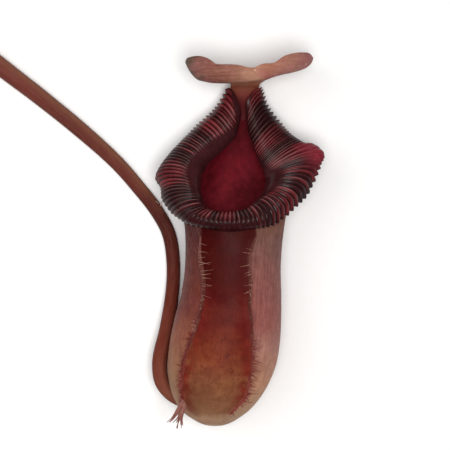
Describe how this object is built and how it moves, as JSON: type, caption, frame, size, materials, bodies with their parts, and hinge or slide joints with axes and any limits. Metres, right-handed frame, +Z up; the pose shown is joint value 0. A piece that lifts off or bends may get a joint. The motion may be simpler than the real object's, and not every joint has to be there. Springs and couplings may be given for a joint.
{
  "type": "pitcher plant pitcher with tendril",
  "caption": "Hollow tropical pitcher plant trap with a ribbed flaring lip, a two-lobed lid, fringed wings and its cut tendril, lying on its back.",
  "frame": {"origin": "middle of the whole part's footprint, on the surface that it lies on", "axes": "+Y runs from the pitcher's base to its lid, +X to the right as its front is seen, +Z up from the surface, out of the pitcher's front"},
  "size_m": [0.1532, 0.163, 0.0471],
  "materials": {
    "cup_skin": "leathery leaf tissue, satin, dark red in front running to tan at the base",
    "lip": "hard waxy ribs, glossy near-black red",
    "lid_skin": "matt pinkish tan",
    "tendril_bark": "smooth satin red-brown"
  },
  "bodies": {
    "root": {"pitcher_cup": "cup_skin", "peristome": "lip", "lid": "lid_skin", "tendril": "tendril_bark"}
  },
  "joints": []
}
